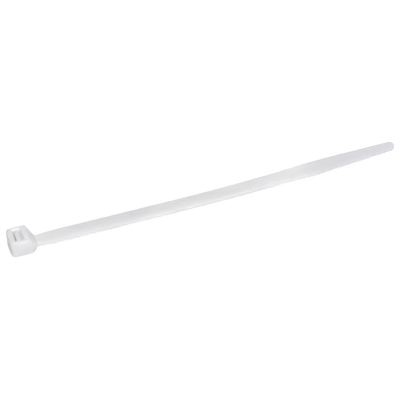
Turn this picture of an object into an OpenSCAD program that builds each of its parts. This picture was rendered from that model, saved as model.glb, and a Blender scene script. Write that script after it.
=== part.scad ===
// Self-locking nylon cable tie, moulded in one piece, as it lies after it comes out of its bag.
// Millimetres. The origin is the middle of the strap slot, on the plane that the head lies on.
// +X runs along the strap to the tail, +Z is up. The smooth side is up and the teeth are below.
// The tie is one loft along a bowed line. The slot and the teeth are cut from it, and the pawl
// stands in the slot.

/* [Length] */
// Length along the tie, from the free end of the head to the tip of the tail
overall_l = 100; // [90:1:130]

/* [Head] */
// Length of the head's foot, from its free end to where its cheeks turn in
head_l = 5.4; // [4.8:0.1:6.4]
// Width of the head
head_w = 5.65; // [5.2:0.05:6.6]
// Height of the head
head_h = 4.7; // [4.4:0.1:5.4]
// Length over which the head slopes down and narrows to the strap
shoulder_l = 1.2; // [1:0.1:2.4]
// How far the top of the head stops short of the end of its foot
crown_setback = 0.6; // [0.2:0.1:1]
// Radius of the head's upper edges
head_edge_r = 0.3; // [0.15:0.05:0.5]
// Radius of the head's upright corners at the free end
head_corner_r = 1.05; // [0.6:0.05:1.2]
// Radius of the head's lower edges
foot_edge_r = 0.2; // [0.1:0.05:0.4]
// Lean of the free end, outwards to the top
end_draft_deg = 0.8; // [0:0.1:4]

/* [Slot] */
// Wall between the slot and the free end
end_wall = 1.25; // [0.9:0.05:1.6]
// Room on each side of a strap in the slot
slot_side_room = 0.15; // [0.05:0.05:0.3]
// Room in the slot beyond the strap's thickness
slot_play = 0.35; // [0.2:0.05:0.6]
// Size of the bevel round the slot's lower mouth
lead_in = 0.3; // [0.1:0.05:0.4]

/* [Pawl] */
// Gap left between the pawl and the slot's end wall
pawl_gap = 0.5; // [0.3:0.05:0.6]
// Room on each side of the pawl
pawl_side_room = 0.25; // [0.15:0.05:0.4]
// Thickness of the pawl at its tip
pawl_tip_t = 1.15; // [0.9:0.05:1.3]
// Thickness of the pawl at its root, where it bends
pawl_root_t = 0.6; // [0.4:0.05:0.8]
// How far the pawl's tip lies under the head's top
pawl_drop = 0.35; // [0.2:0.05:0.7]
// Height of the bay's floor, which the pawl stands on
bay_floor = 1.8; // [1.4:0.1:2.2]
// How far each lower tooth of the pawl stands back from the one above
pawl_lean = 0.15; // [0.05:0.05:0.3]
// Room behind the pawl's tip, which it bends back into
bay_room = 0.6; // [0.5:0.05:0.8]
// Number of teeth on the pawl, at the strap's own pitch
pawl_teeth = 2; // [1:1:2]

/* [Strap] */
// Width of the strap
strap_w = 3.6; // [3.2:0.1:4]
// Thickness of the strap
strap_t = 1.1; // [0.9:0.05:1.3]
// Radius of the strap's upper edges
strap_edge_r = 0.35; // [0.2:0.05:0.5]
// Radius of the strap's lower edges
strap_foot_r = 0.12; // [0.05:0.01:0.2]
// Height of the strap's underside where it leaves the head
strap_lift = 0.5; // [0.4:0.05:0.7]
// Width of the waist next to the head
waist_w = 3.1; // [2.8:0.1:3.2]
// Length of the stretch from the head to the strap's full width
waist_l = 4.2; // [3:0.1:6]

/* [Teeth] */
// Distance from one tooth to the next
tooth_pitch = 1.1; // [0.8:0.05:1.5]
// Depth of the teeth, from crest to valley
tooth_depth = 0.45; // [0.3:0.05:0.5]
// Length of the flat on each crest
tooth_land = 0.25; // [0.1:0.05:0.4]
// Lean of each tooth's locking face, along the strap
tooth_undercut = 0.08; // [0.02:0.01:0.15]
// Width of the smooth rail on each side of the teeth
rail_w = 0.5; // [0.3:0.05:0.7]
// Stretch without teeth next to the head
plain_l = 4.6; // [4:0.1:8]

/* [Tail] */
// Length of the tapered tail
tail_l = 21.7; // [16:0.1:28]
// Stretch between the last tooth and the tail
last_tooth_gap = 1.6; // [1:0.1:4]
// Width of the tail after the step down from the strap
tail_w = 3.45; // [2.8:0.05:3.6]
// Length of that step
tail_step_l = 3.6; // [2:0.1:6]
// Width of the tail before its round tip
tip_w = 2.4; // [1.6:0.1:2.6]
// Thickness of the tail
tail_t = 0.85; // [0.7:0.05:0.9]
// Radius of the tail's edges
tail_edge_r = 0.15; // [0.05:0.01:0.25]
// Number of grip grooves under the tail
grip_count = 9; // [3:1:10]
// Distance from one grip groove to the next
grip_pitch = 1.3; // [1:0.1:1.5]
// Depth of the grip grooves
grip_depth = 0.18; // [0.1:0.01:0.25]
// Distance from the tip to the first grip groove
grip_from_tip = 3.2; // [2:0.1:4]

/* [Bow and twist] */
// Slope of the strap, down from the head to where it touches the surface
droop_deg = 0.7; // [0.6:0.02:0.8]
// Slope of the tail, up from the surface
rise_deg = 2.15; // [1:0.05:5]
// Radius of the bend between these two slopes
bow_r = 300; // [150:10:400]
// Turn of the tail about its length, with its near edge down
twist_deg = 16; // [0:1:20]
// Length over which the strap twists before the tail
twist_l = 10; // [8:1:20]

/* [Hidden] */

// How far a cutter reaches past the faces that it cuts
spill = 0.2;
tooth_spill = 0.05;

// Least radii, on the free end's face
end_face_r = 0.1;
end_foot_r = 0.05;

// Room behind the pawl's root
root_room = 0.1;

// Shares of a rise that are rounded at each of its ends
crown_soft = 0.15;
cheek_soft = 0.25;
waist_soft = 0.4;
tail_soft = 0.3;
twist_soft = 0.3;

// Share of the waist that stays at its least width
waist_rest = 0.2;

// Numbers of sections and corner points
corner_steps = 4;
end_steps = 6;
shoulder_steps = 12;
waist_steps = 8;
bow_step_l = 1.5;
twist_steps = 10;
tail_steps = 6;
tip_steps = 8;
tip_blunt_deg = 80;

// Places along the tie, from the middle of the slot
slot_w = strap_w + 2 * slot_side_room;
slot_l = strap_t + slot_play;
end_s = -slot_l / 2 - end_wall;
cheek_s = end_s + head_l;
neck_s = cheek_s + shoulder_l;
crown_s = cheek_s - crown_setback;
full_s = neck_s + waist_l;
tip_s = end_s + overall_l;
tail_s = tip_s - tail_l;
tail_full_s = tail_s + tail_step_l;
tip_round_s = tip_s - tip_w / 2;

// The bend starts where a strap at this slope would meet the surface, less the bend's own drop
bow_s = neck_s + (strap_lift - bow_r * (1 - cos(droop_deg))) / sin(droop_deg);
bow_l = bow_r * (droop_deg + rise_deg) * PI / 180;
rise_s = bow_s + bow_l;
twist_s = tail_s - twist_l;

// Teeth
teeth_s = neck_s + plain_l;
tooth_count = floor((tail_s - last_tooth_gap - teeth_s) / tooth_pitch);

// Pawl and bay
crest_x = -slot_l / 2 + pawl_gap;
pawl_top = head_h - pawl_drop;
pawl_back_x = crest_x + pawl_tip_t;
bay_x = pawl_back_x + bay_room;
pawl_w = slot_w - 2 * pawl_side_room;
root_x = slot_l / 2;
root_back_x = root_x + pawl_root_t;

// Share of a rise after a share u of its length, straight but for a soft stretch k at each end
function soft(u, k) =
    u <= 0 ? 0 :
    u >= 1 ? 1 :
    u < k ? u * u / (2 * k * (1 - k)) :
    u > 1 - k ? 1 - (1 - u) * (1 - u) / (2 * k * (1 - k)) :
    (u - k / 2) / (1 - k);

function mix(a, b, u) = a + (b - a) * u;

// Upward slope of the tie at a distance s along it
function slope(s) =
    s < neck_s ? 0 :
    s < bow_s ? -droop_deg :
    s < rise_s ? (s - bow_s) / bow_r * 180 / PI - droop_deg :
    rise_deg;

// A point [x, z] of the line under the strap, straight, then bent, then straight again
function under_line(s) =
    s <= neck_s ? [s, strap_lift] :
    s <= bow_s ?
        under_line(neck_s) + (s - neck_s) * [cos(droop_deg), -sin(droop_deg)] :
    s <= rise_s ?
        under_line(bow_s)
        + bow_r * [sin(slope(s)) + sin(droop_deg), cos(droop_deg) - cos(slope(s))] :
    under_line(rise_s) + (s - rise_s) * [cos(rise_deg), sin(rise_deg)];

// Turn of the tie about its own length at a distance s along it
function twist(s) = twist_deg * soft((s - twist_s) / twist_l, twist_soft);

// The point [x, y, z] at a distance s along the tie, y across it and h over its underside.
// The twist turns a section about the middle of the strap's thickness.
function on_tie(s, y, h) =
    let (
        p = under_line(s),
        across = y * cos(twist(s)) - (h - strap_t / 2) * sin(twist(s)),
        up = y * sin(twist(s)) + (h - strap_t / 2) * cos(twist(s)) + strap_t / 2
    )
    [p[0] - up * sin(slope(s)), across, p[1] + up * cos(slope(s))];

// An outline [y, h] across the tie: a rectangle with its upper and lower corners rounded
function section(w, low, high, high_r, low_r) =
    let (corners = [
        [w / 2 - low_r, low + low_r, low_r, -90],
        [w / 2 - high_r, high - high_r, high_r, 0],
        [-w / 2 + high_r, high - high_r, high_r, 90],
        [-w / 2 + low_r, low + low_r, low_r, 180]
    ])
    [for (c = corners, i = [0 : corner_steps])
        let (a = c[3] + 90 * i / corner_steps)
        [c[0] + c[2] * cos(a), c[1] + c[2] * sin(a)]];

// The section at s, stood on the tie's line, and leaning back from its foot by an angle
function ring(s, w, low, high, high_r, low_r, lean = 0) =
    [for (p = section(w, low, high, high_r, low_r))
        let (q = on_tie(s, p[0], p[1]))
        [q[0] - q[2] * tan(lean), q[1], q[2]]];

// How far a rounding of radius r stands in from its side, at a distance d from its start
function inset(r, d) = d < r ? r - sqrt(r * r - (r - d) * (r - d)) : 0;

// The free end, rounded from its end face back to the full section
function end_rings() =
    [for (i = [0 : end_steps])
        let (
            d = head_corner_r * (1 - cos(90 * i / end_steps)),
            upper = inset(head_edge_r, d),
            lower = inset(foot_edge_r, d)
        )
        ring(
            end_s + d,
            head_w - 2 * inset(head_corner_r, d),
            lower - strap_lift,
            head_h - upper - strap_lift,
            mix(head_edge_r, end_face_r, upper / head_edge_r),
            mix(foot_edge_r, end_foot_r, lower / foot_edge_r),
            end_draft_deg
        )];

// The head's block and its shoulder, which slopes down and narrows to the waist
function shoulder_rings() =
    [for (i = [0 : shoulder_steps])
        let (
            s = mix(crown_s, neck_s, i / shoulder_steps),
            drop = soft((s - crown_s) / (neck_s - crown_s), crown_soft),
            turn = soft((s - cheek_s) / (neck_s - cheek_s), cheek_soft)
        )
        ring(
            s,
            mix(head_w, waist_w, turn),
            mix(-strap_lift, 0, turn),
            mix(head_h - strap_lift, strap_t, drop),
            mix(head_edge_r, strap_edge_r, drop),
            mix(foot_edge_r, strap_foot_r, drop)
        )];

function strap_ring(s, w) = ring(s, w, 0, strap_t, strap_edge_r, strap_foot_r);

// The waist, which widens to the full strap
function waist_rings() =
    [for (i = [1 : waist_steps])
        let (
            u = i / waist_steps,
            widen = soft((u - waist_rest) / (1 - waist_rest), waist_soft)
        )
        strap_ring(mix(neck_s, full_s, u), mix(waist_w, strap_w, widen))];

// The bend in the strap
function bow_rings() =
    let (n = ceil(bow_l / bow_step_l))
    [for (i = [0 : n]) strap_ring(bow_s + bow_l * i / n, strap_w)];

// The twist in the strap, after the bend
function twist_rings() =
    [for (i = [0 : twist_steps - 1])
        let (s = twist_s + twist_l * i / twist_steps)
        if (s > rise_s) strap_ring(s, strap_w)];

// The step from the strap to the flatter, narrower tail
function tail_rings() =
    [for (i = [0 : tail_steps])
        let (u = i / tail_steps, v = soft(u, tail_soft))
        ring(
            mix(tail_s, tail_full_s, u),
            mix(strap_w, tail_w, v),
            mix(0, strap_t - tail_t, v),
            strap_t,
            mix(strap_edge_r, tail_edge_r, v),
            mix(strap_foot_r, tail_edge_r, v)
        )];

// The round tip of the tail, seen from above
function tip_rings() =
    [for (i = [0 : tip_steps])
        let (a = tip_blunt_deg * i / tip_steps)
        ring(
            mix(tip_round_s, tip_s, sin(a) / sin(tip_blunt_deg)),
            tip_w * cos(a),
            strap_t - tail_t,
            strap_t,
            min(tail_edge_r, tip_w * cos(a) / 3),
            min(tail_edge_r, tip_w * cos(a) / 3)
        )];

// A closed solid through a row of rings with the same number of points
module loft(rings) {
    n = len(rings[0]);
    last = len(rings) - 1;
    sides = [for (j = [0 : last - 1], i = [0 : n - 1])
        let (a = j * n + i, b = j * n + (i + 1) % n)
        each [[a, a + n, b], [b, a + n, b + n]]];
    caps = [
        [for (i = [0 : n - 1]) i],
        [for (i = [n - 1 : -1 : 0]) last * n + i]
    ];
    polyhedron(points = [for (r = rings) each r], faces = concat(sides, caps));
}

// An outline [x, z] made solid across the tie
module across(w) {
    rotate([90, 0, 0])
        linear_extrude(height = w, center = true)
            children();
}

// Puts a cutter at a distance s along the tie, level with its underside, sloped and twisted as it is
module at_tie(s) {
    middle = on_tie(s, 0, strap_t / 2);
    translate(middle)
        rotate([twist(s), -slope(s), 0])
            translate([0, 0, -strap_t / 2])
                children();
}

// The tie's outer form, from the free end of the head to the tip of the tail
module outer_form() {
    loft(concat(
        end_rings(),
        shoulder_rings(),
        waist_rings(),
        bow_rings(),
        twist_rings(),
        tail_rings(),
        tip_rings()
    ));
}

// The slot through the head, with a bevel round the mouth where a strap goes in
module slot() {
    translate([-slot_l / 2, -slot_w / 2, -spill])
        cube([slot_l, slot_w, head_h + 2 * spill]);
    intersection() {
        across(slot_w + 2 * lead_in + 2 * spill)
            polygon([
                [-slot_l / 2 - lead_in - spill, -spill],
                [slot_l / 2 + lead_in + spill, -spill],
                [slot_l / 2 - spill, lead_in + spill],
                [-slot_l / 2 + spill, lead_in + spill]
            ]);
        rotate([0, 0, 90])
            across(slot_l + 2 * lead_in + 2 * spill)
                polygon([
                    [-slot_w / 2 - lead_in - spill, -spill],
                    [slot_w / 2 + lead_in + spill, -spill],
                    [slot_w / 2 - spill, lead_in + spill],
                    [-slot_w / 2 + spill, lead_in + spill]
                ]);
    }
}

// The bay next to the slot, open above, where the pawl stands and bends back
module bay() {
    wall_slope = (bay_x - root_back_x - root_room) / (head_h - bay_floor);
    across(slot_w)
        polygon([
            [0, bay_floor],
            [root_back_x + root_room, bay_floor],
            [bay_x + spill * wall_slope, head_h + spill],
            [0, head_h + spill]
        ]);
}

// The pawl: a tongue on the bay's floor that leans over the slot, with teeth towards the end wall
module pawl() {
    face = [for (i = [0 : pawl_teeth - 1])
        let (
            x = crest_x + i * pawl_lean,
            z = pawl_top - i * tooth_pitch
        )
        each [[x + tooth_depth, z], [x, z - tooth_undercut]]];
    color("whitesmoke")
        across(pawl_w)
            polygon(concat(
                [
                    [root_back_x, bay_floor - spill],
                    [root_back_x, bay_floor + pawl_root_t],
                    [pawl_back_x, pawl_top]
                ],
                face,
                [
                    [root_x, bay_floor + spill],
                    [root_x, bay_floor - spill]
                ]
            ));
}

// One notch under the strap: a ramp that rises towards the tail, and the next tooth's locking face
module tooth_notch() {
    run = tooth_pitch - tooth_land;
    ramp = (run - tooth_undercut) / tooth_depth;
    lean = tooth_undercut / tooth_depth;
    across(strap_w - 2 * rail_w)
        polygon([
            [-tooth_spill * ramp, -tooth_spill],
            [run - tooth_undercut, tooth_depth],
            [run + tooth_spill * lean, -tooth_spill]
        ]);
}

// The row of notches that leaves the teeth standing between two smooth rails
module teeth() {
    for (i = [0 : tooth_count - 1])
        at_tie(teeth_s + i * tooth_pitch)
            tooth_notch();
}

// Grip grooves across the underside of the tail
module tail_grip() {
    under = strap_t - tail_t;
    for (i = [0 : grip_count - 1])
        at_tie(tip_s - grip_from_tip - i * grip_pitch)
            across(strap_w + spill)
                polygon([
                    [-grip_depth - tooth_spill, under - tooth_spill],
                    [grip_depth + tooth_spill, under - tooth_spill],
                    [0, under + grip_depth]
                ]);
}

module cable_tie() {
    color("whitesmoke")
        difference() {
            outer_form();
            slot();
            bay();
            teeth();
            tail_grip();
        }
    pawl();
}

cable_tie();
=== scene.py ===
"""A natural nylon cable tie, lying smooth side up on a white table in soft studio light.

The tie is modelled straight, in millimetres, and is then laid along the bowed and twisted line
that it keeps after it comes out of its bag.
"""

import logging
import math
from dataclasses import dataclass, field
from enum import Enum
from typing import Any, Callable

import bmesh
import bpy
from mathutils import Matrix, Vector


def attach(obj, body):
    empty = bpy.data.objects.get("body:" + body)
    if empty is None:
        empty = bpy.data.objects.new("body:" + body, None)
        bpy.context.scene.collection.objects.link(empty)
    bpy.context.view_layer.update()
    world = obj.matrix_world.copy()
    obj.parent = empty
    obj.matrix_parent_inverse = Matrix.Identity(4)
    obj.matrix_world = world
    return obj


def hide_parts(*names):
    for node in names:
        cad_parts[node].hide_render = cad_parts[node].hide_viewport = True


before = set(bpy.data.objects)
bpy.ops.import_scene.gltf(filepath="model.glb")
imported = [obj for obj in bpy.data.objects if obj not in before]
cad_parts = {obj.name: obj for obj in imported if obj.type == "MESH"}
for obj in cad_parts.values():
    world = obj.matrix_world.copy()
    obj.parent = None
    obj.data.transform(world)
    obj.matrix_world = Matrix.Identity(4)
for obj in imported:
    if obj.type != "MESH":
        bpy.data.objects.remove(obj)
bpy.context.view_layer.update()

LOG = logging.getLogger("cable_tie")

# The model is made in millimetres and brought to metres at the end
MM = 0.001

# Two places closer than this, in millimetres, are the same place
NEAR = 0.004

# A change smaller than this is left out
TINY = 1e-6

# A face looks along an axis when its normal reaches this far along it
FACING = 0.9

# Side of the square picture, in pixels
PICTURE_PX = 400

# Numbers of the sockets by which a Mix node takes and gives colours
MIX_SHARE = 0
MIX_FIRST = 6
MIX_SECOND = 7
MIX_RESULT = 2


class Element(Enum):
    """What an edit acts on."""

    VERT = "VERT"
    EDGE = "EDGE"
    FACE = "FACE"


class Cut(Enum):
    """How one solid is combined with another."""

    AWAY = "DIFFERENCE"
    ON = "UNION"


class Corner(Enum):
    """A corner of a section across the tie, as its side and its level."""

    UPPER_FAR = (1, 1)
    UPPER_NEAR = (-1, 1)
    LOWER_FAR = (1, -1)
    LOWER_NEAR = (-1, -1)


Test = Callable[[list[Vector], Vector], bool]


def near(a: float, b: float, reach: float = NEAR) -> bool:
    """Tells whether two lengths are the same within reach."""
    return abs(a - b) < reach


def mix(a: float, b: float, share: float) -> float:
    """Returns the value a share of the way from a to b."""
    return a + (b - a) * share


def soft(share: float, ends: float) -> float:
    """Returns a rise from 0 to 1 that is straight but for a soft stretch at each end.

    Args:
        share: How far along the rise, from 0 to 1.
        ends: The share of the length that each soft stretch takes.

    Returns:
        The height of the rise there, from 0 to 1.
    """
    full = 2 * ends * (1 - ends)
    if share <= 0:
        return 0.0
    if share >= 1:
        return 1.0
    if share < ends:
        return share * share / full
    if share > 1 - ends:
        return 1 - (1 - share) ** 2 / full
    return (share - ends / 2) / (1 - ends)


def linear(hex_colour: str) -> tuple[float, float, float, float]:
    """Turns an sRGB colour into the linear one that a shader takes.

    Args:
        hex_colour: The colour as six hex digits after a hash sign.

    Returns:
        Red, green, blue and an alpha of 1.
    """
    parts = [int(hex_colour[i : i + 2], 16) / 255 for i in (1, 3, 5)]
    red, green, blue = (
        p / 12.92 if p <= 0.04045 else ((p + 0.055) / 1.055) ** 2.4 for p in parts
    )
    return red, green, blue, 1.0


def add_node(
    tree: bpy.types.NodeTree,
    kind: str,
    settings: dict[str, Any] | None = None,
    inputs: dict[str | int, Any] | None = None,
) -> bpy.types.Node:
    """Adds a node with its settings, its values and the links into it.

    Args:
        tree: The node tree that gets the node.
        kind: The node's type.
        settings: Properties of the node, by name.
        inputs: A value or an output socket for each input, by name or number.

    Returns:
        The new node.
    """
    node = tree.nodes.new(kind)
    for name, value in (settings or {}).items():
        setattr(node, name, value)
    for name, value in (inputs or {}).items():
        if isinstance(value, bpy.types.NodeSocket):
            tree.links.new(value, node.inputs[name])
        else:
            node.inputs[name].default_value = value
    return node


def seen(tree: bpy.types.NodeTree) -> bpy.types.NodeSocket:
    """Adds a switch that is on for what is looked at, and off for the light that falls on things.

    Args:
        tree: The node tree that gets the switch.

    Returns:
        A socket that is 1 for the camera's own rays and for those it sees in gloss or through
        clear material, and 0 for all others.
    """
    ray = add_node(tree, "ShaderNodeLightPath")
    direct = add_node(
        tree,
        "ShaderNodeMath",
        {"operation": "ADD"},
        {0: ray.outputs["Is Camera Ray"], 1: ray.outputs["Is Glossy Ray"]},
    )
    every = add_node(
        tree,
        "ShaderNodeMath",
        {"operation": "ADD", "use_clamp": True},
        {0: direct.outputs["Value"], 1: ray.outputs["Is Transmission Ray"]},
    )
    return every.outputs["Value"]


def new_material(name: str) -> bpy.types.Material:
    """Returns an empty material with nodes."""
    material = bpy.data.materials.new(name)
    material.use_nodes = True
    material.node_tree.nodes.clear()
    return material


def make_active(piece: bpy.types.Object) -> None:
    """Selects one object alone and makes it the active one."""
    bpy.ops.object.select_all(action="DESELECT")
    piece.select_set(True)
    bpy.context.view_layer.objects.active = piece


def apply_place(piece: bpy.types.Object) -> None:
    """Puts an object's place, turn and scale into its mesh."""
    make_active(piece)
    bpy.ops.object.transform_apply(location=True, rotation=True, scale=True)


def add_box(name: str, low: Vector, high: Vector) -> bpy.types.Object:
    """Adds a box between two corners, to be shaped further.

    Args:
        name: Name of the object.
        low: Its lowest corner.
        high: Its highest corner.

    Returns:
        The new object, with its place in its mesh.
    """
    bpy.ops.object.select_all(action="DESELECT")
    bpy.ops.mesh.primitive_cube_add(size=1, location=(low + high) / 2, scale=high - low)
    piece = bpy.context.object
    piece.name = name
    apply_place(piece)
    return piece


def edit(piece: bpy.types.Object) -> None:
    """Opens one object alone for editing."""
    make_active(piece)
    bpy.ops.object.mode_set(mode="EDIT")


def done() -> None:
    """Closes the object that is open for editing."""
    bpy.ops.object.mode_set(mode="OBJECT")


def choose(element: Element, test: Test) -> None:
    """Selects only the elements of the open object that pass a test.

    Args:
        element: Which kind of element is selected.
        test: Takes an element's points and its normal, and tells whether it is wanted.
    """
    bpy.ops.mesh.select_mode(type=element.value)
    bpy.ops.mesh.select_all(action="DESELECT")
    mesh = bpy.context.object.data
    grid = bmesh.from_edit_mesh(mesh)
    if element is Element.VERT:
        found = [v for v in grid.verts if test([v.co], v.normal)]
    elif element is Element.EDGE:
        found = [e for e in grid.edges if test([v.co for v in e.verts], Vector())]
    else:
        found = [f for f in grid.faces if test([v.co for v in f.verts], f.normal)]
    for part in found:
        part.select_set(True)
    grid.select_flush_mode()
    bmesh.update_edit_mesh(mesh)


def choose_open_edges() -> None:
    """Selects the open object's free edges."""
    bpy.ops.mesh.select_mode(type="EDGE")
    bpy.ops.mesh.select_all(action="DESELECT")
    bpy.ops.mesh.select_non_manifold(extend=False)


def shift(x: float = 0.0, y: float = 0.0, z: float = 0.0) -> None:
    """Moves what is selected in the open object."""
    bpy.ops.transform.translate(value=(x, y, z), orient_type="GLOBAL")


def extrude(x: float = 0.0, y: float = 0.0, z: float = 0.0) -> None:
    """Extrudes what is selected in the open object."""
    bpy.ops.mesh.extrude_region_move(
        TRANSFORM_OT_translate={"value": (x, y, z), "orient_type": "GLOBAL"}
    )


def bevel(width: float, segments: int, affect: str = "EDGES") -> None:
    """Rounds what is selected in the open object."""
    bpy.ops.mesh.bevel(
        offset=width, offset_type="OFFSET", segments=segments, profile=0.5, affect=affect
    )


def combine(piece: bpy.types.Object, other: bpy.types.Object, cut: Cut) -> None:
    """Cuts one solid from another, or melts it on, and deletes it.

    Args:
        piece: The solid that stays.
        other: The solid that is used up.
        cut: Which of the two is done.
    """
    make_active(piece)
    bpy.ops.object.modifier_add(type="BOOLEAN")
    tool = piece.modifiers[-1]
    tool.operation = cut.value
    tool.solver = "EXACT"
    tool.object = other
    bpy.ops.object.modifier_apply(modifier=tool.name)
    bpy.data.objects.remove(other, do_unlink=True)


def repeat(piece: bpy.types.Object, count: int, step: float) -> None:
    """Repeats a shape along the tie.

    Args:
        piece: The object that holds the shape.
        count: How many there are in all.
        step: Distance from one to the next.
    """
    make_active(piece)
    bpy.ops.object.modifier_add(type="ARRAY")
    row = piece.modifiers[-1]
    row.count = count
    row.use_relative_offset = False
    row.use_constant_offset = True
    row.constant_offset_displace = (step, 0, 0)
    bpy.ops.object.modifier_apply(modifier=row.name)


@dataclass(frozen=True)
class Section:
    """A section across the tie: a rectangle with rounded corners, at a place along it."""

    at: float
    width: float
    low: float
    high: float
    upper_r: float
    lower_r: float

    def corner(self, corner: Corner) -> Vector:
        """Returns the sharp corner that a rounded one stands in."""
        side, level = corner.value
        return Vector((self.at, side * self.width / 2, self.high if level > 0 else self.low))

    def radius(self, corner: Corner) -> float:
        """Returns the radius of a corner."""
        return self.upper_r if corner.value[1] > 0 else self.lower_r


@dataclass(frozen=True)
class Line:
    """The line that the tie keeps as it lies: level, down to the table, bent up, and twisted."""

    neck: float = 4.625
    lift: float = 0.5
    thickness: float = 1.1
    droop_deg: float = 0.7
    rise_deg: float = 2.15
    bow_r: float = 300.0
    twist_deg: float = 16.0
    twist_from: float = 66.325
    twist_l: float = 10.0
    twist_ends: float = 0.3
    length: float = 99.0
    step: float = 0.5

    @property
    def bow_from(self) -> float:
        """Where the bend starts."""
        droop = math.radians(self.droop_deg)
        return self.neck + (self.lift - self.bow_r * (1 - math.cos(droop))) / math.sin(droop)

    @property
    def bow_l(self) -> float:
        """Length of the bend."""
        return self.bow_r * math.radians(self.droop_deg + self.rise_deg)

    def slope(self, at: float) -> float:
        """Returns the upward slope, in radians, at a distance along the tie."""
        droop = math.radians(self.droop_deg)
        if at < self.neck:
            return 0.0
        if at < self.bow_from:
            return -droop
        return min((at - self.bow_from) / self.bow_r - droop, math.radians(self.rise_deg))

    def twist(self, at: float) -> float:
        """Returns the turn about the tie's length, in radians, at a distance along it."""
        share = (at - self.twist_from) / self.twist_l
        return math.radians(self.twist_deg) * soft(share, self.twist_ends)

    def stops(self) -> list[float]:
        """Returns the distances at which the bend and the twist are divided."""
        count = math.ceil((self.length - self.bow_from) / self.step)
        bends = [mix(self.bow_from, self.length, i / count) for i in range(count + 1)]
        return [0.0, self.neck - self.step, self.neck, self.neck + self.step] + bends

    def guide(self) -> bpy.types.Object:
        """Makes the guide that the straight tie is laid along.

        Returns:
            A curve through the middle of the strap's thickness, tilted as the tie is twisted.
        """
        stops = self.stops()
        curve = bpy.data.curves.new("guide", "CURVE")
        curve.dimensions = "3D"
        curve.twist_mode = "Z_UP"
        curve.use_deform_bounds = False
        spline = curve.splines.new("POLY")
        spline.points.add(len(stops) - 1)
        place = Vector((0.0, 0.0, 0.0))
        for i, at in enumerate(stops):
            if i:
                run = at - stops[i - 1]
                angle = self.slope((at + stops[i - 1]) / 2)
                place = place + run * Vector((math.cos(angle), 0.0, math.sin(angle)))
            spline.points[i].co = (*place, 1.0)
            spline.points[i].tilt = self.twist(at)
        guide = bpy.data.objects.new("guide", curve)
        guide.location = (0, 0, self.lift + self.thickness / 2)
        bpy.context.collection.objects.link(guide)
        return guide

    def lay(self, piece: bpy.types.Object) -> None:
        """Lays a straight piece along this line."""
        guide = self.guide()
        make_active(piece)
        bpy.ops.object.modifier_add(type="CURVE")
        bend = piece.modifiers[-1]
        bend.object = guide
        bend.deform_axis = "POS_X"
        bpy.ops.object.modifier_apply(modifier=bend.name)
        bpy.data.objects.remove(guide, do_unlink=True)


@dataclass
class Head:
    """The head's block, from its free end to the start of the shoulder."""

    end: float = -1.975
    cheek: float = 3.425
    crown: float = 2.825
    width: float = 5.65
    height: float = 4.7
    draft_deg: float = 0.8
    corner_r: float = 1.05
    edge_r: float = 0.3
    foot_r: float = 0.2
    shoulder_r: float = 0.3
    seam_reach: float = 0.02
    corner_segments: int = 8
    segments: int = 6
    foot_segments: int = 3
    shoulder_segments: int = 4

    def block(self) -> bpy.types.Object:
        """Makes the block, rounded, and open towards the strap.

        Returns:
            The new object.
        """
        lean = self.height * math.tan(math.radians(self.draft_deg))
        half = self.width / 2
        piece = add_box(
            "head",
            Vector((self.end, -half, 0)),
            Vector((self.cheek, half, self.height)),
        )
        edit(piece)
        choose(Element.VERT, lambda p, n: near(p[0].x, self.cheek) and near(p[0].z, self.height))
        shift(x=self.crown - self.cheek)
        choose(Element.VERT, lambda p, n: near(p[0].x, self.end) and near(p[0].z, self.height))
        shift(x=-lean)
        choose(
            Element.EDGE,
            lambda p, n: all(q.x < self.end + NEAR for q in p) and near(p[0].y, p[1].y),
        )
        bevel(self.corner_r, self.corner_segments)
        choose(
            Element.EDGE,
            lambda p, n: all(near(q.z, self.height) for q in p)
            and not all(near(q.x, self.crown) for q in p),
        )
        bevel(self.edge_r, self.segments)
        choose(
            Element.EDGE,
            lambda p, n: all(near(q.z, 0) for q in p) and not all(near(q.x, self.cheek) for q in p),
        )
        bevel(self.foot_r, self.foot_segments)
        choose(Element.FACE, lambda p, n: n.x > FACING and max(q.x for q in p) > self.crown)
        bpy.ops.mesh.delete(type="ONLY_FACE")
        done()
        return piece


@dataclass
class Slot:
    """The strap slot through the head, and the bay beside it that the pawl stands in."""

    length: float = 1.45
    width: float = 3.9
    lead_in: float = 0.3
    bay_floor: float = 1.8
    bay_foot: float = 1.425
    bay_end: float = 1.525
    corner_r: float = 0.15
    corner_segments: int = 3
    mouth_r: float = 0.08
    mouth_segments: int = 2
    reach: float = 0.4

    def cutter(self, height: float) -> bpy.types.Object:
        """Makes the solid that is cut from the head.

        Args:
            height: Height of the head.

        Returns:
            The new object: a shaft with a flared foot and a bay on one side.
        """
        half_l = self.length / 2
        half_w = self.width / 2
        piece = add_box(
            "slot",
            Vector((-half_l, -half_w, self.lead_in)),
            Vector((half_l, half_w, self.bay_floor)),
        )
        edit(piece)
        choose(Element.FACE, lambda p, n: n.z > FACING)
        extrude(z=height + self.reach - self.bay_floor)
        choose(
            Element.FACE,
            lambda p, n: n.x > FACING and min(q.z for q in p) > self.bay_floor - NEAR,
        )
        extrude(x=self.bay_end - half_l)
        choose(
            Element.VERT,
            lambda p, n: near(p[0].x, self.bay_end) and near(p[0].z, self.bay_floor),
        )
        shift(x=self.bay_foot - self.bay_end)
        choose(
            Element.FACE,
            lambda p, n: n.z < -FACING and max(q.z for q in p) < self.lead_in + NEAR,
        )
        flare = self.lead_in + self.reach
        extrude(z=-flare)
        bpy.ops.transform.resize(
            value=((half_l + flare) / half_l, (half_w + flare) / half_w, 1),
            center_override=(0, 0, -self.reach),
        )
        choose(
            Element.EDGE,
            lambda p, n: near(p[0].x, p[1].x)
            and near(p[0].y, p[1].y)
            and p[0].x < -half_l + NEAR
            and min(p[0].z, p[1].z) > self.lead_in - NEAR,
        )
        bevel(self.corner_r, self.corner_segments)
        done()
        return piece


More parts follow.
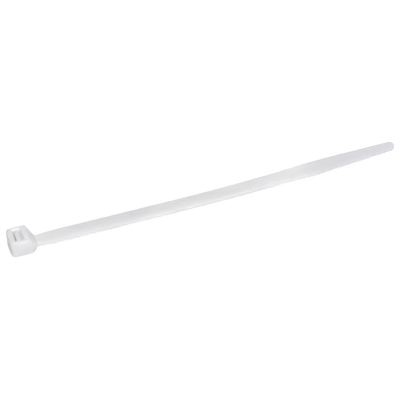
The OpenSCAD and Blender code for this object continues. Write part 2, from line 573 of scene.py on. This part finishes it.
@dataclass
class Pawl:
    """The toothed tongue that stands on the bay's floor and leans over the slot."""

    root_front: float = 0.725
    root_back: float = 1.325
    root_z: float = 1.6
    foot_z: float = 2.0
    knee_z: float = 2.4
    tip_back: float = 0.925
    tip_z: float = 4.35
    crest: float = -0.225
    lean: float = 0.15
    pitch: float = 1.1
    depth: float = 0.45
    undercut: float = 0.08
    width: float = 3.4
    edge_r: float = 0.05
    edge_segments: int = 2
    edge_deg: float = 30.0

    def back_at(self, z: float) -> float:
        """Returns where the pawl's sloping back is, at a height over its knee."""
        return mix(self.root_back, self.tip_back, (z - self.knee_z) / (self.tip_z - self.knee_z))

    def levels(self) -> list[tuple[float, float, float]]:
        """Returns the height, the front and the back of each level, from the root up."""
        low_tooth = self.tip_z - self.pitch
        low_bite = low_tooth - self.undercut
        bite = self.tip_z - self.undercut
        low_crest = self.crest + self.lean
        rise = (self.knee_z - self.foot_z) / (low_bite - self.foot_z)
        return [
            (self.root_z, self.root_front, self.root_back),
            (self.foot_z, self.root_front, self.root_back),
            (self.knee_z, mix(self.root_front, low_crest, rise), self.root_back),
            (low_bite, low_crest, self.back_at(low_bite)),
            (low_tooth, low_crest + self.depth, self.back_at(low_tooth)),
            (bite, self.crest, self.back_at(bite)),
            (self.tip_z, self.crest + self.depth, self.tip_back),
        ]

    def tongue(self) -> bpy.types.Object:
        """Makes the pawl, level by level.

        Returns:
            The new object, with softened edges.
        """
        levels = self.levels()
        half = self.width / 2
        piece = add_box(
            "pawl",
            Vector((levels[0][1], -half, levels[0][0])),
            Vector((levels[0][2], half, levels[1][0])),
        )
        edit(piece)
        for i in range(2, len(levels)):
            z, front, back = levels[i]
            low_z, low_front, low_back = levels[i - 1]
            choose(Element.FACE, lambda p, n: all(near(q.z, low_z) for q in p))
            extrude(z=z - low_z)
            choose(Element.VERT, lambda p, n: near(p[0].z, z) and near(p[0].x, low_front))
            shift(x=front - low_front)
            choose(Element.VERT, lambda p, n: near(p[0].z, z) and near(p[0].x, low_back))
            shift(x=back - low_back)
        done()
        bpy.ops.object.modifier_add(type="BEVEL")
        rounding = piece.modifiers[-1]
        rounding.width = self.edge_r
        rounding.segments = self.edge_segments
        rounding.limit_method = "ANGLE"
        rounding.angle_limit = math.radians(self.edge_deg)
        bpy.ops.object.modifier_apply(modifier=rounding.name)
        return piece


@dataclass
class Strap:
    """The strap from the neck to the tail, with its waist, its teeth and its two rails."""

    neck: float = 4.625
    full: float = 8.825
    end: float = 76.325
    waist_w: float = 3.1
    width: float = 3.6
    low: float = 0.5
    thickness: float = 1.1
    edge_r: float = 0.35
    foot_r: float = 0.12
    waist_rest: float = 0.2
    waist_ends: float = 0.4
    teeth_from: float = 9.225
    tooth_count: int = 59
    pitch: float = 1.1
    depth: float = 0.45
    land: float = 0.25
    undercut: float = 0.08
    rail: float = 0.5
    reach: float = 0.05
    root: float = 0.1
    root_r: float = 0.04
    root_segments: int = 2
    waist_steps: int = 12
    straight_steps: int = 12
    bow_steps: int = 12
    twist_steps: int = 16

    def section(self, at: float, width: float) -> Section:
        """Returns the strap's section at a place, with a given width."""
        return Section(at, width, self.low, self.low + self.thickness, self.edge_r, self.foot_r)

    def sections(self, line: Line) -> list[Section]:
        """Returns the sections from the neck to the tail.

        Args:
            line: The line that the tie is laid along, which needs sections where it bends.

        Returns:
            The sections in order.
        """
        row = [self.section(self.neck, self.waist_w)]
        for i in range(1, self.waist_steps + 1):
            share = i / self.waist_steps
            widen = soft((share - self.waist_rest) / (1 - self.waist_rest), self.waist_ends)
            row.append(
                self.section(mix(self.neck, self.full, share), mix(self.waist_w, self.width, widen))
            )
        stops = [
            mix(self.full, line.bow_from, i / self.straight_steps)
            for i in range(1, self.straight_steps)
        ]
        stops += [
            line.bow_from + line.bow_l * i / self.bow_steps for i in range(self.bow_steps + 1)
        ]
        twist_end = line.twist_from + line.twist_l
        stops += [
            mix(line.twist_from, twist_end, i / self.twist_steps) for i in range(self.twist_steps)
        ]
        return row + [self.section(at, self.width) for at in stops]

    def notch_row(self) -> bpy.types.Object:
        """Makes the row of wedges that is cut from the underside between the rails.

        Returns:
            One object that holds all of them.
        """
        run = self.pitch - self.land
        half = self.width / 2 - self.rail
        ramp = (run - self.undercut) / self.depth
        lean = self.undercut / self.depth
        low = self.low - self.reach
        high = self.low + self.depth
        start = self.teeth_from
        piece = add_box(
            "notches",
            Vector((start - self.reach * ramp, -half, low)),
            Vector((start + run + self.reach * lean, half, high)),
        )
        left = start - self.reach * ramp
        right = start + run + self.reach * lean
        edit(piece)
        choose(Element.VERT, lambda p, n: near(p[0].z, high) and near(p[0].x, left))
        shift(x=run - self.undercut - self.root + self.reach * ramp, z=-self.root / ramp)
        choose(Element.VERT, lambda p, n: near(p[0].z, high) and near(p[0].x, right))
        shift(x=-self.undercut - self.reach * lean)
        choose(
            Element.EDGE,
            lambda p, n: near(p[0].x, p[1].x) and all(q.z > self.low + self.depth / 2 for q in p),
        )
        bevel(self.root_r, self.root_segments)
        done()
        repeat(piece, self.tooth_count, self.pitch)
        return piece


@dataclass
class Tail:
    """The thinner tapered tail, with its round tip and the grip grooves under it."""

    start: float = 76.325
    full: float = 79.925
    tip: float = 98.025
    width: float = 3.45
    tip_w: float = 2.4
    thickness: float = 0.85
    edge_r: float = 0.15
    ends: float = 0.3
    blunt_deg: float = 80.0
    groove_count: int = 9
    groove_pitch: float = 1.3
    groove_depth: float = 0.18
    groove_from_tip: float = 3.2
    groove_root: float = 0.2
    reach: float = 0.05
    rim_r: float = 0.07
    rim_segments: int = 2
    start_steps: int = 8
    taper_steps: int = 4
    tip_steps: int = 10

    def sections(self, strap: Strap) -> list[Section]:
        """Returns the sections from the strap's end to the tip.

        Args:
            strap: The strap that the tail goes on from.

        Returns:
            The sections in order.
        """
        high = strap.low + strap.thickness
        row = []
        for i in range(self.start_steps + 1):
            share = soft(i / self.start_steps, self.ends)
            row.append(
                Section(
                    mix(self.start, self.full, i / self.start_steps),
                    mix(strap.width, self.width, share),
                    mix(strap.low, high - self.thickness, share),
                    high,
                    mix(strap.edge_r, self.edge_r, share),
                    mix(strap.foot_r, self.edge_r, share),
                )
            )
        round_from = self.tip - self.tip_w / 2
        for i in range(1, self.taper_steps):
            share = i / self.taper_steps
            row.append(self.section(high, mix(self.full, round_from, share), share))
        for i in range(self.tip_steps + 1):
            turn = math.radians(self.blunt_deg * i / self.tip_steps)
            reach = math.sin(turn) / math.sin(math.radians(self.blunt_deg))
            width = self.tip_w * math.cos(turn)
            # The corners stay well inside the narrow end
            radius = min(self.edge_r, width / 3)
            row.append(
                Section(
                    mix(round_from, self.tip, reach),
                    width,
                    high - self.thickness,
                    high,
                    radius,
                    radius,
                )
            )
        return row

    def section(self, high: float, at: float, share: float) -> Section:
        """Returns a section a share of the way along the taper."""
        width = mix(self.width, self.tip_w, share)
        return Section(at, width, high - self.thickness, high, self.edge_r, self.edge_r)

    def groove_row(self, strap: Strap) -> bpy.types.Object:
        """Makes the row of wedges that is cut across the tail's underside.

        Args:
            strap: The strap, whose height the tail shares.

        Returns:
            One object that holds all of them.
        """
        under = strap.low + strap.thickness - self.thickness
        first = self.tip - self.groove_from_tip
        half = strap.width
        wide = self.groove_depth + self.reach
        piece = add_box(
            "grooves",
            Vector((first - wide, -half, under - self.reach)),
            Vector((first + wide, half, under + self.groove_depth)),
        )
        edit(piece)
        choose(Element.FACE, lambda p, n: n.z > FACING)
        bpy.ops.transform.resize(
            value=(self.groove_root, 1, 1), center_override=(first, 0, under)
        )
        done()
        repeat(piece, self.groove_count, -self.groove_pitch)
        return piece


@dataclass(frozen=True)
class NaturalNylon:
    """Polyamide 6.6, natural, injection moulded from a polished steel mould.

    It has no pigment. The crystals in it scatter the light, so it looks like milk glass in a fine
    layer:
    white with some light let through and a waxy gloss. The twisted tail is painted greyer, as
    painted shade for the dimmer light that falls on it.
    """

    body: str = "#F2F2F2"
    cloud: str = "#ECECED"
    # Painted shade: a greyer colour painted on the tail and the twist before it, for the dimmer
    # light that falls there
    painted_tail_shade: str = "#E2E2E4"
    tail_shade_from_mm: float = 71.0
    tail_shade_to_mm: float = 82.0
    ior: float = 1.53
    roughness: float = 0.5
    roughness_spread: float = 0.06
    let_through: float = 0.34
    scatter: float = 1.0
    scatter_mm: tuple[float, float, float] = (1.4, 1.4, 1.5)
    flow_mm: float = 9.0
    cloud_mm: float = 2.4
    cloud_detail: float = 3.0
    cloud_breakup: float = 0.5
    cloud_span: tuple[float, float] = (0.35, 0.65)
    gloss_span: tuple[float, float] = (0.3, 0.7)
    # The grain that a polished mould leaves is finer, and is drawn this coarse so that it shows
    grain_mm: float = 0.25
    grain_height_mm: float = 0.004
    grain_detail: float = 2.0

    def material(self) -> bpy.types.Material:
        """Makes the material.

        Returns:
            Milky nylon with faint flow clouds along the tie, painted shade that greys the tail, and
            a very fine moulded grain.
        """
        material = new_material("natural_nylon_66_moulded")
        tree = material.node_tree
        place = add_node(tree, "ShaderNodeTexCoord")
        stretched = add_node(
            tree,
            "ShaderNodeMapping",
            inputs={
                "Vector": place.outputs["Object"],
                "Scale": (self.cloud_mm / self.flow_mm, 1, 1),
            },
        )
        clouds = add_node(
            tree,
            "ShaderNodeTexNoise",
            inputs={
                "Vector": stretched.outputs["Vector"],
                "Scale": 1 / (self.cloud_mm * MM),
                "Detail": self.cloud_detail,
                "Roughness": self.cloud_breakup,
            },
        )
        spread = add_node(
            tree,
            "ShaderNodeMapRange",
            inputs={
                "Value": clouds.outputs["Fac"],
                "From Min": self.cloud_span[0],
                "From Max": self.cloud_span[1],
            },
        )
        tint = add_node(
            tree,
            "ShaderNodeMix",
            {"data_type": "RGBA"},
            {
                MIX_SHARE: spread.outputs["Result"],
                MIX_FIRST: linear(self.body),
                MIX_SECOND: linear(self.cloud),
            },
        )
        along = add_node(
            tree, "ShaderNodeSeparateXYZ", inputs={"Vector": place.outputs["Object"]}
        )
        # Painted shade: blends the nylon smoothly into the greyer tail colour from 71 mm to 82 mm
        # along the tie, fully grey beyond
        tail_shade_share = add_node(
            tree,
            "ShaderNodeMapRange",
            {"interpolation_type": "SMOOTHSTEP"},
            {
                "Value": along.outputs["X"],
                "From Min": self.tail_shade_from_mm * MM,
                "From Max": self.tail_shade_to_mm * MM,
            },
        )
        colour = add_node(
            tree,
            "ShaderNodeMix",
            {"data_type": "RGBA"},
            {
                MIX_SHARE: tail_shade_share.outputs["Result"],
                MIX_FIRST: tint.outputs[MIX_RESULT],
                MIX_SECOND: linear(self.painted_tail_shade),
            },
        )
        gloss = add_node(
            tree,
            "ShaderNodeMapRange",
            inputs={
                "Value": clouds.outputs["Fac"],
                "From Min": self.gloss_span[0],
                "From Max": self.gloss_span[1],
                "To Min": self.roughness - self.roughness_spread / 2,
                "To Max": self.roughness + self.roughness_spread / 2,
            },
        )
        grain = add_node(
            tree,
            "ShaderNodeTexNoise",
            inputs={
                "Vector": place.outputs["Object"],
                "Scale": 1 / (self.grain_mm * MM),
                "Detail": self.grain_detail,
            },
        )
        relief = add_node(
            tree,
            "ShaderNodeBump",
            inputs={
                "Height": grain.outputs["Fac"],
                "Distance": self.grain_height_mm * MM,
                "Strength": 1.0,
            },
        )
        shader = add_node(
            tree,
            "ShaderNodeBsdfPrincipled",
            {"subsurface_method": "BURLEY"},
            {
                "Base Color": colour.outputs[MIX_RESULT],
                "Roughness": gloss.outputs["Result"],
                "IOR": self.ior,
                "Subsurface Weight": self.scatter,
                "Subsurface Radius": tuple(r * MM for r in self.scatter_mm),
                "Subsurface Scale": 1.0,
                "Normal": relief.outputs["Normal"],
            },
        )
        through = add_node(
            tree,
            "ShaderNodeBsdfTranslucent",
            inputs={"Color": colour.outputs[MIX_RESULT], "Normal": relief.outputs["Normal"]},
        )
        milky = add_node(
            tree,
            "ShaderNodeMixShader",
            inputs={0: self.let_through, 1: shader.outputs["BSDF"], 2: through.outputs["BSDF"]},
        )
        add_node(tree, "ShaderNodeOutputMaterial", inputs={"Surface": milky.outputs["Shader"]})
        return material


@dataclass(frozen=True)
class WhiteTable:
    """Matt white table top, which shows as plain white but for the tie's own faint shadow."""

    paint: str = "#EDEDED"
    glow: float = 0.48

    def material(self) -> bpy.types.Material:
        """Makes the material.

        Returns:
            A matt white that the camera and reflections see lifted to plain white.
        """
        material = new_material("matt_white_table")
        tree = material.node_tree
        lift = add_node(
            tree,
            "ShaderNodeMath",
            {"operation": "MULTIPLY"},
            {0: seen(tree), 1: self.glow},
        )
        glow = add_node(
            tree,
            "ShaderNodeEmission",
            inputs={"Color": linear("#FFFFFF"), "Strength": lift.outputs["Value"]},
        )
        matt = add_node(tree, "ShaderNodeBsdfDiffuse", inputs={"Color": linear(self.paint)})
        both = add_node(
            tree,
            "ShaderNodeAddShader",
            inputs={0: matt.outputs["BSDF"], 1: glow.outputs["Emission"]},
        )
        add_node(tree, "ShaderNodeOutputMaterial", inputs={"Surface": both.outputs["Shader"]})
        return material


@dataclass
class CableTie:
    """The whole tie, moulded in one piece."""

    head: Head = field(default_factory=Head)
    slot: Slot = field(default_factory=Slot)
    pawl: Pawl = field(default_factory=Pawl)
    strap: Strap = field(default_factory=Strap)
    tail: Tail = field(default_factory=Tail)
    line: Line = field(default_factory=Line)
    nylon: NaturalNylon = field(default_factory=NaturalNylon)
    smooth_deg: float = 35.0

    def first_face(self, section: Section) -> bpy.types.Object:
        """Makes the section that the strap starts from.

        Args:
            section: The section at the neck.

        Returns:
            A flat object with that section's rounded outline.
        """
        bpy.ops.object.select_all(action="DESELECT")
        bpy.ops.mesh.primitive_plane_add(
            size=1,
            location=(section.at, 0, (section.low + section.high) / 2),
            rotation=(0, math.radians(90), 0),
        )
        piece = bpy.context.object
        piece.name = "strap"
        piece.scale = (section.high - section.low, section.width, 1)
        apply_place(piece)
        edit(piece)
        choose(Element.VERT, lambda p, n: near(p[0].z, section.high))
        bevel(section.upper_r, self.head.segments, "VERTICES")
        choose(Element.VERT, lambda p, n: near(p[0].z, section.low))
        bevel(section.lower_r, self.head.foot_segments, "VERTICES")
        done()
        return piece

    def next_section(self, old: Section, new: Section) -> None:
        """Extrudes the open strap's end to its next section.

        Args:
            old: The section that its end has.
            new: The section that it gets.
        """
        choose(Element.FACE, lambda p, n: all(near(q.x, old.at) for q in p))
        extrude(x=new.at - old.at)
        grow = (new.width - old.width) / 2
        if abs(grow) > TINY:
            for side in (-1, 1):
                choose(Element.VERT, lambda p, n: near(p[0].x, new.at) and p[0].y * side > 0)
                shift(y=side * grow)
        middle = (old.low + old.high) / 2
        if abs(new.low - old.low) > TINY:
            choose(Element.VERT, lambda p, n: near(p[0].x, new.at) and p[0].z < middle)
            shift(z=new.low - old.low)
        for corner in Corner:
            share = new.radius(corner) / old.radius(corner)
            if abs(share - 1) < TINY:
                continue
            side, level = corner.value
            choose(
                Element.VERT,
                lambda p, n: near(p[0].x, new.at)
                and p[0].y * side > 0
                and (p[0].z - middle) * level > 0,
            )
            bpy.ops.transform.resize(value=(1, share, share), center_override=new.corner(corner))

    def long_form(self) -> bpy.types.Object:
        """Makes the strap and the tail in one run of sections.

        Returns:
            The new object, open towards the head.
        """
        sections = self.strap.sections(self.line) + self.tail.sections(self.strap)
        piece = self.first_face(sections[0])
        edit(piece)
        for i in range(1, len(sections)):
            self.next_section(sections[i - 1], sections[i])
        choose(Element.FACE, lambda p, n: all(near(q.x, self.tail.tip) for q in p))
        bevel(self.tail.rim_r, self.tail.rim_segments)
        choose(Element.FACE, lambda p, n: all(near(q.x, self.strap.neck) for q in p))
        bpy.ops.mesh.delete(type="ONLY_FACE")
        done()
        return piece

    def join_head(self, piece: bpy.types.Object) -> bpy.types.Object:
        """Joins the head to the strap with the sloping shoulder.

        Args:
            piece: The strap and the tail.

        Returns:
            The head and the strap as one closed object.
        """
        head = self.head.block()
        make_active(piece)
        head.select_set(True)
        bpy.context.view_layer.objects.active = piece
        bpy.ops.object.join()
        edit(piece)
        choose_open_edges()
        bpy.ops.mesh.bridge_edge_loops(type="SINGLE")
        crown = self.head.crown
        cheek = self.head.cheek
        slant = (cheek - crown) / self.head.height
        choose(
            Element.EDGE,
            lambda p, n: all(near(q.x, cheek - slant * q.z, self.head.seam_reach) for q in p)
            or all(near(q.x, self.strap.neck) for q in p),
        )
        bevel(self.head.shoulder_r, self.head.shoulder_segments)
        bpy.ops.mesh.select_all(action="SELECT")
        bpy.ops.mesh.normals_make_consistent(inside=False)
        done()
        return piece

    def soften_cuts(self, piece: bpy.types.Object) -> None:
        """Rounds the edges that the cuts left sharp.

        Args:
            piece: The straight tie with its cuts.
        """
        top = self.head.height
        front = -self.slot.length / 2
        back = self.slot.bay_end
        edit(piece)
        choose(
            Element.EDGE,
            lambda p, n: all(near(q.z, top) and front - NEAR < q.x < back + NEAR for q in p)
            and all(abs(q.y) < self.slot.width / 2 + NEAR for q in p),
        )
        bevel(self.slot.mouth_r, self.slot.mouth_segments)
        done()

    def build(self) -> bpy.types.Object:
        """Builds the tie and lays it in its place.

        Returns:
            The finished object, in metres, before it is dressed.
        """
        piece = self.join_head(self.long_form())
        combine(piece, self.slot.cutter(self.head.height), Cut.AWAY)
        self.soften_cuts(piece)
        combine(piece, self.pawl.tongue(), Cut.ON)
        combine(piece, self.strap.notch_row(), Cut.AWAY)
        combine(piece, self.tail.groove_row(self.strap), Cut.AWAY)
        self.line.lay(piece)
        piece.scale = (MM, MM, MM)
        apply_place(piece)
        piece.name = "moulded_tie"
        return piece

    def dress(self, piece: bpy.types.Object) -> None:
        """Gives the tie its smooth shading and its nylon.

        Args:
            piece: The finished tie.
        """
        make_active(piece)
        bpy.ops.object.shade_smooth_by_angle(angle=math.radians(self.smooth_deg))
        piece.data.materials.clear()
        piece.data.materials.append(self.nylon.material())
        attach(piece, "root")
        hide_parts("cable_tie")


@dataclass(frozen=True)
class Softbox:
    """A round soft lamp that is aimed at the tie."""

    name: str
    azimuth_deg: float
    elevation_deg: float
    power_w: float
    distance_m: float = 0.8
    size_m: float = 0.6

    def hang(self, target: Vector) -> None:
        """Hangs the lamp.

        Args:
            target: The point, in metres, that it stands round and is aimed at.
        """
        azimuth = math.radians(self.azimuth_deg)
        elevation = math.radians(self.elevation_deg)
        towards = Vector(
            (
                math.sin(azimuth) * math.cos(elevation),
                -math.cos(azimuth) * math.cos(elevation),
                math.sin(elevation),
            )
        )
        bpy.ops.object.light_add(type="AREA", location=target + towards * self.distance_m)
        lamp = bpy.context.object
        lamp.name = self.name
        lamp.data.shape = "DISK"
        lamp.data.size = self.size_m
        lamp.data.energy = self.power_w
        lamp.rotation_euler = towards.to_track_quat("Z", "Y").to_euler()


@dataclass
class Studio:
    """The white table, the soft lamps and the camera."""

    azimuth_deg: float = -19.55
    elevation_deg: float = 46.4
    distance_mm: float = 500.0
    focal_px: float = 2040.0
    sensor_mm: float = 36.0
    target_mm: tuple[float, float, float] = (48.0, 0.0, 1.0)
    aside_mm: float = -1.42
    above_mm: float = -0.71
    clip_m: tuple[float, float] = (0.01, 10.0)
    table_m: float = 3.0
    table_middle_m: tuple[float, float, float] = (0.05, 0.0, 0.0)
    sky: float = 0.41
    lamps: tuple[Softbox, ...] = (
        Softbox("front_softbox", 0.0, 20.0, 3.6),
        Softbox("high_softbox", 160.0, 60.0, 2.3),
    )
    table: WhiteTable = field(default_factory=WhiteTable)

    def lay_table(self) -> None:
        """Lays the table top under the tie."""
        bpy.ops.object.select_all(action="DESELECT")
        bpy.ops.mesh.primitive_plane_add(size=self.table_m, location=self.table_middle_m)
        floor = bpy.context.object
        floor.name = "table_top"
        apply_place(floor)
        floor.data.materials.append(self.table.material())

    def light(self) -> None:
        """Lights the tie from all round, and more from low in front and from high behind."""
        world = bpy.data.worlds.new("soft_room")
        bpy.context.scene.world = world
        world.use_nodes = True
        tree = world.node_tree
        tree.nodes.clear()
        strength = add_node(
            tree,
            "ShaderNodeMapRange",
            inputs={"Value": seen(tree), "To Min": self.sky, "To Max": 1.0},
        )
        room = add_node(
            tree,
            "ShaderNodeBackground",
            inputs={"Color": linear("#FFFFFF"), "Strength": strength.outputs["Result"]},
        )
        add_node(tree, "ShaderNodeOutputWorld", inputs={"Surface": room.outputs["Background"]})
        for lamp in self.lamps:
            lamp.hang(Vector(self.target_mm) * MM)

    def place_camera(self) -> None:
        """Stands the camera where the photograph was taken from."""
        azimuth = math.radians(self.azimuth_deg)
        elevation = math.radians(self.elevation_deg)
        right = Vector((math.cos(azimuth), math.sin(azimuth), 0))
        back = Vector(
            (
                math.sin(azimuth) * math.cos(elevation),
                -math.cos(azimuth) * math.cos(elevation),
                math.sin(elevation),
            )
        )
        up = back.cross(right)
        target = Vector(self.target_mm) + right * self.aside_mm + up * self.above_mm
        eye = (target + back * self.distance_mm) * MM
        data = bpy.data.cameras.new("camera")
        data.sensor_width = self.sensor_mm
        data.lens = self.focal_px / PICTURE_PX * self.sensor_mm
        data.clip_start, data.clip_end = self.clip_m
        camera = bpy.data.objects.new("camera", data)
        bpy.context.collection.objects.link(camera)
        turn = Matrix((right, up, back)).transposed().to_4x4()
        camera.matrix_world = Matrix.Translation(eye) @ turn
        bpy.context.scene.camera = camera

    def set_view(self) -> None:
        """Shows colours as they are."""
        bpy.context.scene.view_settings.view_transform = "Standard"


def main() -> None:
    """Builds the tie, then the studio round it."""
    logging.basicConfig(level=logging.INFO, format="%(name)s: %(message)s")
    tie = CableTie()
    piece = tie.build()
    tie.dress(piece)
    LOG.info("%s: %d faces", piece.name, len(piece.data.polygons))
    studio = Studio()
    studio.lay_table()
    studio.light()
    studio.place_camera()
    studio.set_view()
    LOG.info("studio is set")


if __name__ == "__main__":
    main()
